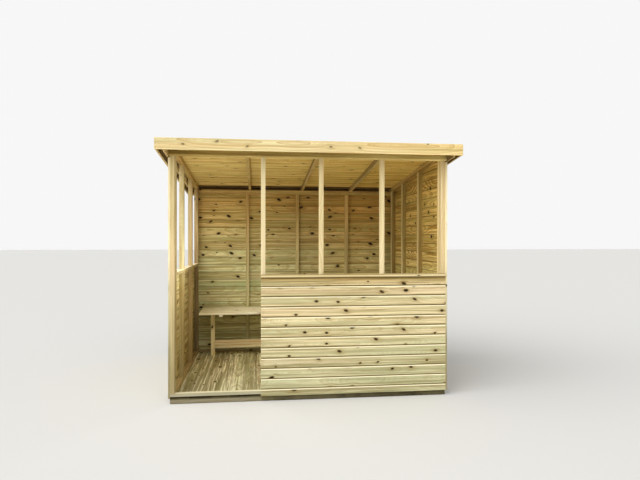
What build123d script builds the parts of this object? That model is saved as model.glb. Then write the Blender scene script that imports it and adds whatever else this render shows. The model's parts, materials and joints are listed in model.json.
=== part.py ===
"""Timber pent-roof shelter, open-fronted, built from framed and clad panels.

Millimetres, Z up. The origin is on the ground under the middle of the roof.
The open front faces -Y and the roof falls towards +Y.
"""
import os

from build123d import *

os.makedirs("parts", exist_ok=True)

# Overall sizes
wall_width = 2438.0          # outer face to outer face of the side walls
frame_depth = 1772.0         # front of the front frame to the back of the back frame
roof_front_overhang = 177.0  # front frame to the face of the front fascia
roof_back_overhang = 117.0   # back frame to the face of the back fascia
roof_side_overhang = 81.0    # side wall face to the face of the barge board
roof_fall = 0.0985           # drop of the roof for each millimetre towards the back

# Base
bearer_size = 44.0           # square bearers lying on the ground
bearer_count = 5
floor_thickness = 16.0
floor_front_setback = 8.0    # floor ends sit back from the face of the front frame

# Framing timber
frame_thickness = 45.0       # depth of the framing across each wall
stud_width = 38.0            # width of a stud along its wall
plate_height = 28.0          # sole plates lying flat on the floor
header_bottom = 2102.0       # underside of the front header above the ground
rail_depth = 44.0            # header and back top rail, measured upright

# Cladding, cover strips and sills
cladding_thickness = 16.0
cladding_bottom = 45.0
sill_top = 1088.0
sill_thickness = 20.0
sill_depth = 30.0
sill_rail_depth = 44.0
left_sill_top = 1110.0
left_sill_rail_depth = 28.0
corner_strip_gap = 19.0      # gap left between a front cover strip and the header
eaves_strip_gap = 12.0       # gap left between a back cover strip and the eaves board

# Stud positions, measured from the outer face of the left wall or the front frame
jamb_from_left = 779.0
front_mullion_left_from_left = 1284.0
front_mullion_right_from_left = 1828.0
back_stud_centres = (633.0, 1224.0, 1824.0)
left_mullion_front_from_front = 516.0
left_mullion_back_from_front = 1146.0
right_stud_front_from_front = 646.0
right_stud_back_from_front = 1232.0

# Roof
rafter_width = 28.0
rafter_depth = 45.0
rafter_centres = (660.0, 1285.0, 1876.0)
roof_board_thickness = 12.0
felt_thickness = 3.0
fascia_thickness = 18.0
fascia_height = 96.0
eaves_board_thickness = 16.0

# Bench
seat_top = 585.0
seat_thickness = 20.0
seat_depth = 471.0           # seat front to the faces of the back studs
seat_end_gap = 55.0          # clear space between the seat ends and the side studs
bench_leg_size = 45.0
bench_leg_from_left = 222.0
bench_leg_setback = 264.0    # legs stand back from the front of the seat
bench_batten_width = 38.0
bench_batten_thickness = 20.0
bench_batten_from_left = 333.0
bench_stretcher_bottom = 150.0
bench_stretcher_height = 87.0
bench_stretcher_thickness = 20.0
bench_ledger_depth = 44.0
bench_ledger_thickness = 28.0

# Faces and levels worked out from the sizes above
left_face = -wall_width / 2
right_face = wall_width / 2
frame_left = left_face + cladding_thickness
frame_right = right_face - cladding_thickness
inner_left = frame_left + frame_thickness
inner_right = frame_right - frame_thickness
roof_depth = roof_front_overhang + frame_depth + roof_back_overhang
roof_front = -roof_depth / 2
roof_back = roof_depth / 2
front_face = roof_front + roof_front_overhang
back_face = front_face + frame_depth
front_inner = front_face + frame_thickness
back_inner = back_face - frame_thickness
clad_front = front_face - cladding_thickness
clad_back = back_face + cladding_thickness
floor_bottom = bearer_size
floor_top = floor_bottom + floor_thickness
plate_top = floor_top + plate_height
sill_bottom = sill_top - sill_thickness
sill_rail_bottom = sill_top - sill_rail_depth
left_sill_bottom = left_sill_top - sill_thickness
fascia_back = roof_front + fascia_thickness
back_fascia_front = roof_back - fascia_thickness
barge_left = left_face - roof_side_overhang
barge_right = right_face + roof_side_overhang
seat_bottom = seat_top - seat_thickness
batten_bottom = seat_bottom - bench_batten_thickness


def rafter_underside(y):
    """Level of the rafter undersides at depth y."""
    return header_bottom + rail_depth - roof_fall * (y - front_face)


def boards_underside(y):
    """Level of the underside of the roof boards at depth y."""
    return rafter_underside(y) + rafter_depth


def boards_top(y):
    """Level of the top of the roof boards at depth y."""
    return boards_underside(y) + roof_board_thickness


def eaves_board_bottom(y):
    """Level of the lower edge of the boards that close the tops of the side walls."""
    return boards_underside(y) - fascia_height


back_rail_bottom = rafter_underside(back_face) - rail_depth
front_strip_top = header_bottom - corner_strip_gap
back_strip_top = eaves_board_bottom(clad_back) - eaves_strip_gap

# Base: bearers along the building and floor boards across them
with BuildPart() as floor_bearers:
    with BuildSketch(Plane.XY):
        for i in range(bearer_count):
            bearer_y = front_face + bearer_size / 2 + i * (frame_depth - bearer_size) / (bearer_count - 1)
            with Locations((0, bearer_y)):
                Rectangle(frame_right - frame_left, bearer_size)
    extrude(amount=bearer_size)
floor_bearers.part.label = "floor_bearers"
export_step(floor_bearers.part, "parts/floor_bearers.step")

with BuildPart() as floor_boards:
    with BuildSketch(Plane.XY.offset(floor_bottom)):
        with Locations((0, (front_face + floor_front_setback + back_face) / 2)):
            Rectangle(frame_right - frame_left, frame_depth - floor_front_setback)
    extrude(amount=floor_thickness)
floor_boards.part.label = "floor_boards"
export_step(floor_boards.part, "parts/floor_boards.step")

# Front wall frame
with BuildPart() as front_sole_plate:
    with BuildSketch(Plane.XY.offset(floor_top)):
        with Locations((0, (front_face + front_inner) / 2)):
            Rectangle(frame_right - frame_left, frame_thickness)
    extrude(amount=plate_height)
front_sole_plate.part.label = "front_sole_plate"
export_step(front_sole_plate.part, "parts/front_sole_plate.step")

with BuildPart() as front_header:
    with BuildSketch(Plane.YZ.offset(left_face)):
        with BuildLine():
            Polyline(
                (front_face, header_bottom),
                (front_inner, header_bottom),
                (front_inner, rafter_underside(front_inner)),
                (front_face, rafter_underside(front_face)),
                close=True,
            )
        make_face()
    extrude(amount=wall_width)
front_header.part.label = "front_header"
export_step(front_header.part, "parts/front_header.step")

front_stud_y = (front_face + front_inner) / 2
front_stud_height = header_bottom - plate_top

with BuildPart() as front_left_post:
    with BuildSketch(Plane.XY.offset(plate_top)):
        with Locations((frame_left + stud_width / 2, front_stud_y)):
            Rectangle(stud_width, frame_thickness)
    extrude(amount=front_stud_height)
front_left_post.part.label = "front_left_post"
export_step(front_left_post.part, "parts/front_left_post.step")

with BuildPart() as door_jamb_post:
    with BuildSketch(Plane.XY.offset(plate_top)):
        with Locations((left_face + jamb_from_left + stud_width / 2, front_stud_y)):
            Rectangle(stud_width, frame_thickness)
    extrude(amount=front_stud_height)
door_jamb_post.part.label = "door_jamb_post"
export_step(door_jamb_post.part, "parts/door_jamb_post.step")

with BuildPart() as front_mullion_left:
    with BuildSketch(Plane.XY.offset(plate_top)):
        with Locations((left_face + front_mullion_left_from_left + stud_width / 2, front_stud_y)):
            Rectangle(stud_width, frame_thickness)
    extrude(amount=front_stud_height)
front_mullion_left.part.label = "front_mullion_left"
export_step(front_mullion_left.part, "parts/front_mullion_left.step")

with BuildPart() as front_mullion_right:
    with BuildSketch(Plane.XY.offset(plate_top)):
        with Locations((left_face + front_mullion_right_from_left + stud_width / 2, front_stud_y)):
            Rectangle(stud_width, frame_thickness)
    extrude(amount=front_stud_height)
front_mullion_right.part.label = "front_mullion_right"
export_step(front_mullion_right.part, "parts/front_mullion_right.step")

with BuildPart() as front_right_post:
    with BuildSketch(Plane.XY.offset(plate_top)):
        with Locations((frame_right - stud_width / 2, front_stud_y)):
            Rectangle(stud_width, frame_thickness)
    extrude(amount=front_stud_height)
front_right_post.part.label = "front_right_post"
export_step(front_right_post.part, "parts/front_right_post.step")

# Short rails between the front studs at the level of the sill
front_rail_spans = (
    (left_face + jamb_from_left + stud_width, left_face + front_mullion_left_from_left),
    (
        left_face + front_mullion_left_from_left + stud_width,
        left_face + front_mullion_right_from_left,
    ),
    (left_face + front_mullion_right_from_left + stud_width, frame_right - stud_width),
)
with BuildPart() as front_sill_rails:
    with BuildSketch(Plane.XY.offset(sill_rail_bottom)):
        for span_start, span_end in front_rail_spans:
            with Locations(((span_start + span_end) / 2, front_stud_y)):
                Rectangle(span_end - span_start, frame_thickness)
    extrude(amount=sill_rail_depth)
front_sill_rails.part.label = "front_sill_rails"
export_step(front_sill_rails.part, "parts/front_sill_rails.step")

with BuildPart() as front_sill:
    with BuildSketch(Plane.XY.offset(sill_bottom)):
        with Locations(((left_face + jamb_from_left + frame_right) / 2, front_face - sill_depth / 2)):
            Rectangle(frame_right - left_face - jamb_from_left, sill_depth)
    extrude(amount=sill_thickness)
front_sill.part.label = "front_sill"
export_step(front_sill.part, "parts/front_sill.step")

with BuildPart() as front_cladding:
    with BuildSketch(Plane.XY.offset(cladding_bottom)):
        with Locations(((left_face + jamb_from_left + frame_right) / 2, (clad_front + front_face) / 2)):
            Rectangle(frame_right - left_face - jamb_from_left, cladding_thickness)
    extrude(amount=sill_bottom - cladding_bottom)
front_cladding.part.label = "front_cladding"
export_step(front_cladding.part, "parts/front_cladding.step")

# Side wall frames, left open above the sill and right closed to the roof
side_rail_length = back_inner - front_inner

with BuildPart() as left_sole_plate:
    with BuildSketch(Plane.XY.offset(floor_top)):
        with Locations(((frame_left + inner_left) / 2, (front_inner + back_inner) / 2)):
            Rectangle(frame_thickness, side_rail_length)
    extrude(amount=plate_height)
left_sole_plate.part.label = "left_sole_plate"
export_step(left_sole_plate.part, "parts/left_sole_plate.step")

with BuildPart() as right_sole_plate:
    with BuildSketch(Plane.XY.offset(floor_top)):
        with Locations(((frame_right + inner_right) / 2, (front_inner + back_inner) / 2)):
            Rectangle(frame_thickness, side_rail_length)
    extrude(amount=plate_height)
right_sole_plate.part.label = "right_sole_plate"
export_step(right_sole_plate.part, "parts/right_sole_plate.step")

# The side rails are the end rafters as well, so they reach from fascia to fascia
rafter_outline = (
    (fascia_back, rafter_underside(fascia_back)),
    (back_fascia_front, rafter_underside(back_fascia_front)),
    (back_fascia_front, boards_underside(back_fascia_front)),
    (fascia_back, boards_underside(fascia_back)),
)

with BuildPart() as left_top_rail:
    with BuildSketch(Plane.YZ.offset(frame_left)):
        with BuildLine():
            Polyline(*rafter_outline, close=True)
        make_face()
    extrude(amount=frame_thickness)
left_top_rail.part.label = "left_top_rail"
export_step(left_top_rail.part, "parts/left_top_rail.step")

with BuildPart() as right_top_rail:
    with BuildSketch(Plane.YZ.offset(inner_right)):
        with BuildLine():
            Polyline(*rafter_outline, close=True)
        make_face()
    extrude(amount=frame_thickness)
right_top_rail.part.label = "right_top_rail"
export_step(right_top_rail.part, "parts/right_top_rail.step")


def side_stud_outline(near_y):
    """Upright outline of a side stud whose front face is at near_y."""
    far_y = near_y + stud_width
    return (
        (near_y, plate_top),
        (far_y, plate_top),
        (far_y, rafter_underside(far_y)),
        (near_y, rafter_underside(near_y)),
    )


left_mullion_front_y = front_face + left_mullion_front_from_front
left_mullion_back_y = front_face + left_mullion_back_from_front
back_stud_y = back_inner - stud_width

with BuildPart() as left_front_stud:
    with BuildSketch(Plane.YZ.offset(frame_left)):
        with BuildLine():
            Polyline(*side_stud_outline(front_inner), close=True)
        make_face()
    extrude(amount=frame_thickness)
left_front_stud.part.label = "left_front_stud"
export_step(left_front_stud.part, "parts/left_front_stud.step")

with BuildPart() as left_mullion_front:
    with BuildSketch(Plane.YZ.offset(frame_left)):
        with BuildLine():
            Polyline(*side_stud_outline(left_mullion_front_y), close=True)
        make_face()
    extrude(amount=frame_thickness)
left_mullion_front.part.label = "left_mullion_front"
export_step(left_mullion_front.part, "parts/left_mullion_front.step")

with BuildPart() as left_mullion_back:
    with BuildSketch(Plane.YZ.offset(frame_left)):
        with BuildLine():
            Polyline(*side_stud_outline(left_mullion_back_y), close=True)
        make_face()
    extrude(amount=frame_thickness)
left_mullion_back.part.label = "left_mullion_back"
export_step(left_mullion_back.part, "parts/left_mullion_back.step")

with BuildPart() as left_back_stud:
    with BuildSketch(Plane.YZ.offset(frame_left)):
        with BuildLine():
            Polyline(*side_stud_outline(back_stud_y), close=True)
        make_face()
    extrude(amount=frame_thickness)
left_back_stud.part.label = "left_back_stud"
export_step(left_back_stud.part, "parts/left_back_stud.step")

left_rail_spans = (
    (front_inner + stud_width, left_mullion_front_y),
    (left_mullion_front_y + stud_width, left_mullion_back_y),
    (left_mullion_back_y + stud_width, back_stud_y),
)
with BuildPart() as left_sill_rails:
    with BuildSketch(Plane.XY.offset(left_sill_top - left_sill_rail_depth)):
        for span_start, span_end in left_rail_spans:
            with Locations(((frame_left + inner_left) / 2, (span_start + span_end) / 2)):
                Rectangle(frame_thickness, span_end - span_start)
    extrude(amount=left_sill_rail_depth)
left_sill_rails.part.label = "left_sill_rails"
export_step(left_sill_rails.part, "parts/left_sill_rails.step")

with BuildPart() as left_sill:
    with BuildSketch(Plane.XY.offset(left_sill_bottom)):
        with Locations(((left_face + frame_left) / 2, (front_inner + back_inner) / 2)):
            Rectangle(cladding_thickness, side_rail_length)
    extrude(amount=sill_thickness)
left_sill.part.label = "left_sill"
export_step(left_sill.part, "parts/left_sill.step")

with BuildPart() as left_cladding:
    with BuildSketch(Plane.XY.offset(cladding_bottom)):
        with Locations(((left_face + frame_left) / 2, (front_inner + back_inner) / 2)):
            Rectangle(cladding_thickness, side_rail_length)
    extrude(amount=left_sill_bottom - cladding_bottom)
left_cladding.part.label = "left_cladding"
export_step(left_cladding.part, "parts/left_cladding.step")

right_stud_front_y = front_face + right_stud_front_from_front
right_stud_back_y = front_face + right_stud_back_from_front

with BuildPart() as right_front_stud:
    with BuildSketch(Plane.YZ.offset(inner_right)):
        with BuildLine():
            Polyline(*side_stud_outline(front_inner), close=True)
        make_face()
    extrude(amount=frame_thickness)
right_front_stud.part.label = "right_front_stud"
export_step(right_front_stud.part, "parts/right_front_stud.step")

with BuildPart() as right_middle_studs:
    with BuildSketch(Plane.YZ.offset(inner_right)):
        for near_y in (right_stud_front_y, right_stud_back_y):
            with BuildLine():
                Polyline(*side_stud_outline(near_y), close=True)
            make_face()
    extrude(amount=frame_thickness)
right_middle_studs.part.label = "right_middle_studs"
export_step(right_middle_studs.part, "parts/right_middle_studs.step")

with BuildPart() as right_back_stud:
    with BuildSketch(Plane.YZ.offset(inner_right)):
        with BuildLine():
            Polyline(*side_stud_outline(back_stud_y), close=True)
        make_face()
    extrude(amount=frame_thickness)
right_back_stud.part.label = "right_back_stud"
export_step(right_back_stud.part, "parts/right_back_stud.step")

with BuildPart() as right_cladding:
    with BuildSketch(Plane.YZ.offset(frame_right)):
        with BuildLine():
            Polyline(
                (front_inner, cladding_bottom),
                (back_inner, cladding_bottom),
                (back_inner, boards_underside(back_inner)),
                (front_inner, boards_underside(front_inner)),
                close=True,
            )
        make_face()
    extrude(amount=cladding_thickness)
right_cladding.part.label = "right_cladding"
export_step(right_cladding.part, "parts/right_cladding.step")

# Back wall
with BuildPart() as back_sole_plate:
    with BuildSketch(Plane.XY.offset(floor_top)):
        with Locations((0, (back_inner + back_face) / 2)):
            Rectangle(frame_right - frame_left, frame_thickness)
    extrude(amount=plate_height)
back_sole_plate.part.label = "back_sole_plate"
export_step(back_sole_plate.part, "parts/back_sole_plate.step")

with BuildPart() as back_top_rail:
    with BuildSketch(Plane.YZ.offset(frame_left)):
        with BuildLine():
            Polyline(
                (back_inner, back_rail_bottom),
                (back_face, back_rail_bottom),
                (back_face, rafter_underside(back_face)),
                (back_inner, rafter_underside(back_inner)),
                close=True,
            )
        make_face()
    extrude(amount=frame_right - frame_left)
back_top_rail.part.label = "back_top_rail"
export_step(back_top_rail.part, "parts/back_top_rail.step")

back_stud_positions = (
    frame_left + stud_width / 2,
    left_face + back_stud_centres[0],
    left_face + back_stud_centres[1],
    left_face + back_stud_centres[2],
    frame_right - stud_width / 2,
)
with BuildPart() as back_studs:
    with BuildSketch(Plane.XY.offset(plate_top)):
        for stud_x in back_stud_positions:
            with Locations((stud_x, (back_inner + back_face) / 2)):
                Rectangle(stud_width, frame_thickness)
    extrude(amount=back_rail_bottom - plate_top)
back_studs.part.label = "back_studs"
export_step(back_studs.part, "parts/back_studs.step")

with BuildPart() as back_cladding:
    with BuildSketch(Plane.YZ.offset(frame_left)):
        with BuildLine():
            Polyline(
                (back_face, cladding_bottom),
                (clad_back, cladding_bottom),
                (clad_back, rafter_underside(clad_back)),
                (back_face, rafter_underside(back_face)),
                close=True,
            )
        make_face()
    extrude(amount=frame_right - frame_left)
back_cladding.part.label = "back_cladding"
export_step(back_cladding.part, "parts/back_cladding.step")

# Cover strips at the four corners, in the plane of the side cladding
with BuildPart() as front_corner_strips:
    with BuildSketch(Plane.XY.offset(cladding_bottom)):
        with Locations(((left_face + frame_left) / 2, (front_face + front_inner) / 2)):
            Rectangle(cladding_thickness, frame_thickness)
        with Locations(((right_face + frame_right) / 2, (clad_front + front_inner) / 2)):
            Rectangle(cladding_thickness, frame_thickness + cladding_thickness)
    extrude(amount=front_strip_top - cladding_bottom)
front_corner_strips.part.label = "front_corner_strips"
export_step(front_corner_strips.part, "parts/front_corner_strips.step")

with BuildPart() as back_corner_strips:
    with BuildSketch(Plane.XY.offset(cladding_bottom)):
        with Locations(((left_face + frame_left) / 2, (back_inner + clad_back) / 2)):
            Rectangle(cladding_thickness, frame_thickness + cladding_thickness)
    extrude(amount=left_sill_bottom - cladding_bottom)
    with BuildSketch(Plane.XY.offset(cladding_bottom)):
        with Locations(((right_face + frame_right) / 2, (back_inner + clad_back) / 2)):
            Rectangle(cladding_thickness, frame_thickness + cladding_thickness)
    extrude(amount=back_strip_top - cladding_bottom)
back_corner_strips.part.label = "back_corner_strips"
export_step(back_corner_strips.part, "parts/back_corner_strips.step")

# Roof
with BuildPart() as rafters:
    for rafter_centre in rafter_centres:
        with BuildSketch(Plane.YZ.offset(left_face + rafter_centre - rafter_width / 2)):
            with BuildLine():
                Polyline(*rafter_outline, close=True)
            make_face()
        extrude(amount=rafter_width)
rafters.part.label = "rafters"
export_step(rafters.part, "parts/rafters.step")

roof_deck_left = barge_left + fascia_thickness
roof_deck_right = barge_right - fascia_thickness

with BuildPart() as roof_boards:
    with BuildSketch(Plane.YZ.offset(roof_deck_left)):
        with BuildLine():
            Polyline(
                (fascia_back, boards_underside(fascia_back)),
                (back_fascia_front, boards_underside(back_fascia_front)),
                (back_fascia_front, boards_top(back_fascia_front)),
                (fascia_back, boards_top(fascia_back)),
                close=True,
            )
        make_face()
    extrude(amount=roof_deck_right - roof_deck_left)
roof_boards.part.label = "roof_boards"
export_step(roof_boards.part, "parts/roof_boards.step")

with BuildPart() as roof_felt:
    with BuildSketch(Plane.YZ.offset(roof_deck_left)):
        with BuildLine():
            Polyline(
                (fascia_back, boards_top(fascia_back)),
                (roof_back, boards_top(roof_back)),
                (roof_back, boards_top(roof_back) + felt_thickness),
                (fascia_back, boards_top(fascia_back) + felt_thickness),
                close=True,
            )
        make_face()
    extrude(amount=roof_deck_right - roof_deck_left)
roof_felt.part.label = "roof_felt"
export_step(roof_felt.part, "parts/roof_felt.step")

front_fascia_top = boards_top(fascia_back)
with BuildPart() as front_fascia:
    with BuildSketch(Plane.XY.offset(front_fascia_top - fascia_height)):
        with Locations((0, (roof_front + fascia_back) / 2)):
            Rectangle(barge_right - barge_left, fascia_thickness)
    extrude(amount=fascia_height)
front_fascia.part.label = "front_fascia"
export_step(front_fascia.part, "parts/front_fascia.step")

with BuildPart() as back_fascia:
    with BuildSketch(Plane.YZ.offset(barge_left)):
        with BuildLine():
            Polyline(
                (back_fascia_front, boards_top(back_fascia_front) - fascia_height),
                (roof_back, boards_top(back_fascia_front) - fascia_height),
                (roof_back, boards_top(roof_back)),
                (back_fascia_front, boards_top(back_fascia_front)),
                close=True,
            )
        make_face()
    extrude(amount=barge_right - barge_left)
back_fascia.part.label = "back_fascia"
export_step(back_fascia.part, "parts/back_fascia.step")

barge_outline = (
    (fascia_back, boards_top(fascia_back) + felt_thickness - fascia_height),
    (back_fascia_front, boards_top(back_fascia_front) + felt_thickness - fascia_height),
    (back_fascia_front, boards_top(back_fascia_front) + felt_thickness),
    (fascia_back, boards_top(fascia_back) + felt_thickness),
)

with BuildPart() as barge_boards:
    for board_start in (barge_left, roof_deck_right):
        with BuildSketch(Plane.YZ.offset(board_start)):
            with BuildLine():
                Polyline(*barge_outline, close=True)
            make_face()
        extrude(amount=fascia_thickness)
barge_boards.part.label = "barge_boards"
export_step(barge_boards.part, "parts/barge_boards.step")

# Boards outside the side walls that close the space under the roof
eaves_board_outline = (
    (fascia_back, eaves_board_bottom(fascia_back)),
    (back_fascia_front, eaves_board_bottom(back_fascia_front)),
    (back_fascia_front, boards_underside(back_fascia_front)),
    (fascia_back, boards_underside(fascia_back)),
)

with BuildPart() as eaves_boards:
    for board_start in (left_face - eaves_board_thickness, right_face):
        with BuildSketch(Plane.YZ.offset(board_start)):
            with BuildLine():
                Polyline(*eaves_board_outline, close=True)
            make_face()
        extrude(amount=eaves_board_thickness)
eaves_boards.part.label = "eaves_boards"
export_step(eaves_boards.part, "parts/eaves_boards.step")

# Bench along the back wall
seat_front = back_inner - seat_depth
seat_left = inner_left + seat_end_gap
seat_right = inner_right - seat_end_gap
leg_front = seat_front + bench_leg_setback
leg_back = leg_front + bench_leg_size
left_leg = left_face + bench_leg_from_left
right_leg = -left_leg - bench_leg_size

with BuildPart() as bench_seat:
    with BuildSketch(Plane.XY.offset(seat_bottom)):
        with Locations((0, (seat_front + back_inner) / 2)):
            Rectangle(seat_right - seat_left, back_inner - seat_front)
    extrude(amount=seat_thickness)
bench_seat.part.label = "bench_seat"
export_step(bench_seat.part, "parts/bench_seat.step")

batten_left = left_face + bench_batten_from_left
batten_positions = (batten_left, -bench_batten_width / 2, -batten_left - bench_batten_width)
ledger_front = back_inner - bench_ledger_thickness
with BuildPart() as bench_battens:
    with BuildSketch(Plane.XY.offset(batten_bottom)):
        for batten_start in batten_positions:
            with Locations((batten_start + bench_batten_width / 2, (seat_front + ledger_front) / 2)):
                Rectangle(bench_batten_width, ledger_front - seat_front)
    extrude(amount=bench_batten_thickness)
bench_battens.part.label = "bench_battens"
export_step(bench_battens.part, "parts/bench_battens.step")

with BuildPart() as bench_legs:
    with BuildSketch(Plane.XY.offset(floor_top)):
        for leg_start in (left_leg, right_leg):
            with Locations((leg_start + bench_leg_size / 2, (leg_front + leg_back) / 2)):
                Rectangle(bench_leg_size, bench_leg_size)
    extrude(amount=seat_bottom - floor_top)
bench_legs.part.label = "bench_legs"
export_step(bench_legs.part, "parts/bench_legs.step")

with BuildPart() as bench_stretcher:
    with BuildSketch(Plane.XY.offset(bench_stretcher_bottom)):
        with Locations((0, (leg_front + leg_back) / 2)):
            Rectangle(right_leg - left_leg - bench_leg_size, bench_stretcher_thickness)
    extrude(amount=bench_stretcher_height)
bench_stretcher.part.label = "bench_stretcher"
export_step(bench_stretcher.part, "parts/bench_stretcher.step")

with BuildPart() as bench_ledger:
    with BuildSketch(Plane.XY.offset(seat_bottom - bench_ledger_depth)):
        with Locations((0, (ledger_front + back_inner) / 2)):
            Rectangle(seat_right - seat_left, bench_ledger_thickness)
    extrude(amount=bench_ledger_depth)
bench_ledger.part.label = "bench_ledger"
export_step(bench_ledger.part, "parts/bench_ledger.step")
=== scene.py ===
"""Looks of an open-fronted timber shelter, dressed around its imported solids.

Metres, Z up, the open front faces -Y. Every board and stud carries two
attributes that its finish reads: own, the place of each point in the timber's
own axes (along, through, across), and board, one random number per timber.
"""
import json
import math
import random

import bmesh
import bpy
from mathutils import Matrix, Vector


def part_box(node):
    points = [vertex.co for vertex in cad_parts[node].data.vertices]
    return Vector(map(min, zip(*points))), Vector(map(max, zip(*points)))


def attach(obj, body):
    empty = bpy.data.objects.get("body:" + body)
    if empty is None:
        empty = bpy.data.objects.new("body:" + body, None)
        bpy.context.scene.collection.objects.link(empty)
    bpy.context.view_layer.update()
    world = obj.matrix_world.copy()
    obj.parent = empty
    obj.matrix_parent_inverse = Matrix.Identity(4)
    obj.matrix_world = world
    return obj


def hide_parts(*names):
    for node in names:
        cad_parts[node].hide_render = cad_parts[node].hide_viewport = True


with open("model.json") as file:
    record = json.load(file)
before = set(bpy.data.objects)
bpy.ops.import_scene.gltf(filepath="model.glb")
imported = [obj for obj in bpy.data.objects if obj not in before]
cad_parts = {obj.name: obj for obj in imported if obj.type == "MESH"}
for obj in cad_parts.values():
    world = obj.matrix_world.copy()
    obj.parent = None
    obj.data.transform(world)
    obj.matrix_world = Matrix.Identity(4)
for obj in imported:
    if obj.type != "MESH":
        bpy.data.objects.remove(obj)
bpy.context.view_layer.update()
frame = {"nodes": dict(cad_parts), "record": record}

MM = 0.001
X, Y, Z = 0, 1, 2
ROOF_FALL = 0.0985
ROOF_ANGLE = math.atan(ROOF_FALL)
EASE = 1.6 * MM                  # how far the edges of a timber are taken off

# Places measured along the front, from the outer face of the left wall
LEFT_FACE = -1.219
BACK_STUDS = (0.633, 1.224, 1.824)
RAFTERS = (0.660, 1.285, 1.876)
END_RAFTERS = (0.038, 2.400)     # the top rails of the side walls
BATTENS = (0.333, 1.200, 2.067)  # left edges
HALF_TIMBER = 19.0 * MM          # half the width of a stud or batten

# Shiplap: a hollow along the top of each face, under the lip of the next board
SHIPLAP_PITCH = 88.26 * MM
SHIPLAP_LEVEL = 990.98 * MM      # the lower edge of one course, the others are pitches away
SHIPLAP_LENGTH_PLAY = 0.5 * MM

slot_of = {row["node"]: row["material_slot"] for row in frame["record"]["subparts"]}


# ---- Node trees ----


def operator(operation, reflected=False):
    """A method that adds one Math node, with its two values swapped if reflected."""

    def apply(self, other):
        pair = (other, self) if reflected else (self, other)
        return self.bench.maths(operation, *pair)

    return apply


class Number:
    """A number that a tree works out. Sums with it add Math nodes."""

    def __init__(self, bench, socket):
        self.bench = bench
        self.socket = socket

    __add__, __radd__ = operator("ADD"), operator("ADD", reflected=True)
    __sub__, __rsub__ = operator("SUBTRACT"), operator("SUBTRACT", reflected=True)
    __mul__, __rmul__ = operator("MULTIPLY"), operator("MULTIPLY", reflected=True)
    __truediv__, __pow__ = operator("DIVIDE"), operator("POWER")
    __lt__, __gt__ = operator("LESS_THAN"), operator("GREATER_THAN")

    def clamped(self):
        return self.bench.maths("ADD", self, 0.0, clamp=True)

    def fraction(self):
        return self.bench.maths("FRACT", self)

    def root(self):
        return self.bench.maths("SQRT", self)

    def falloff(self):
        """1 at zero, dropping to nothing by about 2."""
        return self.bench.maths("EXPONENT", self * self * -1.0)


class Bench:
    """Adds nodes to one shader tree or geometry tree."""

    def __init__(self, tree):
        self.tree = tree

    def node(self, kind, settings=None, inputs=None):
        made = self.tree.nodes.new(kind)
        for key, value in (settings or {}).items():
            setattr(made, key, value)
        for key, value in (inputs or {}).items():
            self.feed(made.inputs[key], value)
        return made

    def feed(self, socket, value):
        """Links a socket or sets its value. Colours are (red, green, blue)."""
        if isinstance(value, Number):
            value = value.socket
        if isinstance(value, bpy.types.NodeSocket):
            self.tree.links.new(value, socket)
        elif socket.type == "RGBA":
            socket.default_value = (*value, 1.0)
        else:
            socket.default_value = value

    def maths(self, operation, *values, clamp=False):
        settings = {"operation": operation, "use_clamp": clamp}
        made = self.node("ShaderNodeMath", settings, dict(enumerate(values)))
        return Number(self, made.outputs[0])

    def parts(self, socket):
        made = self.node("ShaderNodeSeparateXYZ", inputs={0: socket})
        return [Number(self, output) for output in made.outputs]

    def point(self, x, y, z):
        return self.node("ShaderNodeCombineXYZ", inputs={0: x, 1: y, 2: z}).outputs[0]

    def attribute(self, name):
        return self.node("ShaderNodeAttribute", {"attribute_name": name})

    def object_place(self):
        return self.node("ShaderNodeTexCoord").outputs["Object"]

    def noise(self, place, scale=1.0, detail=2.0, roughness=0.5):
        sizes = {"Vector": place, "Scale": scale, "Detail": detail, "Roughness": roughness}
        made = self.node("ShaderNodeTexNoise", inputs=sizes)
        return Number(self, made.outputs["Fac"])

    def mix(self, share, first, second, blend="MIX"):
        settings = {"data_type": "RGBA", "blend_type": blend}
        made = self.node("ShaderNodeMix", settings, {0: share, 6: first, 7: second})
        return made.outputs[2]


def new_finish(name):
    finish = bpy.data.materials.new(name)
    finish.use_nodes = True
    finish.node_tree.nodes.clear()
    return finish, Bench(finish.node_tree)


def close_finish(bench, base, roughness, height=None, relief=0.0005, strength=0.5, **fixed):
    """The shader at the end of a finish. Fixed values go on its own sockets."""
    inputs = {"Base Color": base, "Roughness": roughness}
    inputs.update({key.replace("_", " "): value for key, value in fixed.items()})
    if height is not None:
        sizes = {"Strength": strength, "Distance": relief, "Height": height}
        inputs["Normal"] = bench.node("ShaderNodeBump", inputs=sizes).outputs[0]
    shader = bench.node("ShaderNodeBsdfPrincipled", inputs=inputs)
    bench.node("ShaderNodeOutputMaterial", inputs={"Surface": shader.outputs[0]})


# ---- Finishes ----


PLAIN = (1.0, 1.0, 1.0)
BARGE_THICKNESS = 18.0 * MM
SHIPLAP_FACE = 9.0 * MM          # what lies nearer the outer face than this is seen outside


def beyond(place, start, width):
    """0 up to a place on the timber and 1 beyond it, over an edge of some width."""
    return ((place - start) / width).clamped()


def short_of(place, end, width):
    """1 up to a place on the timber and 0 beyond it."""
    return ((end - place) / width).clamped()


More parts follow.
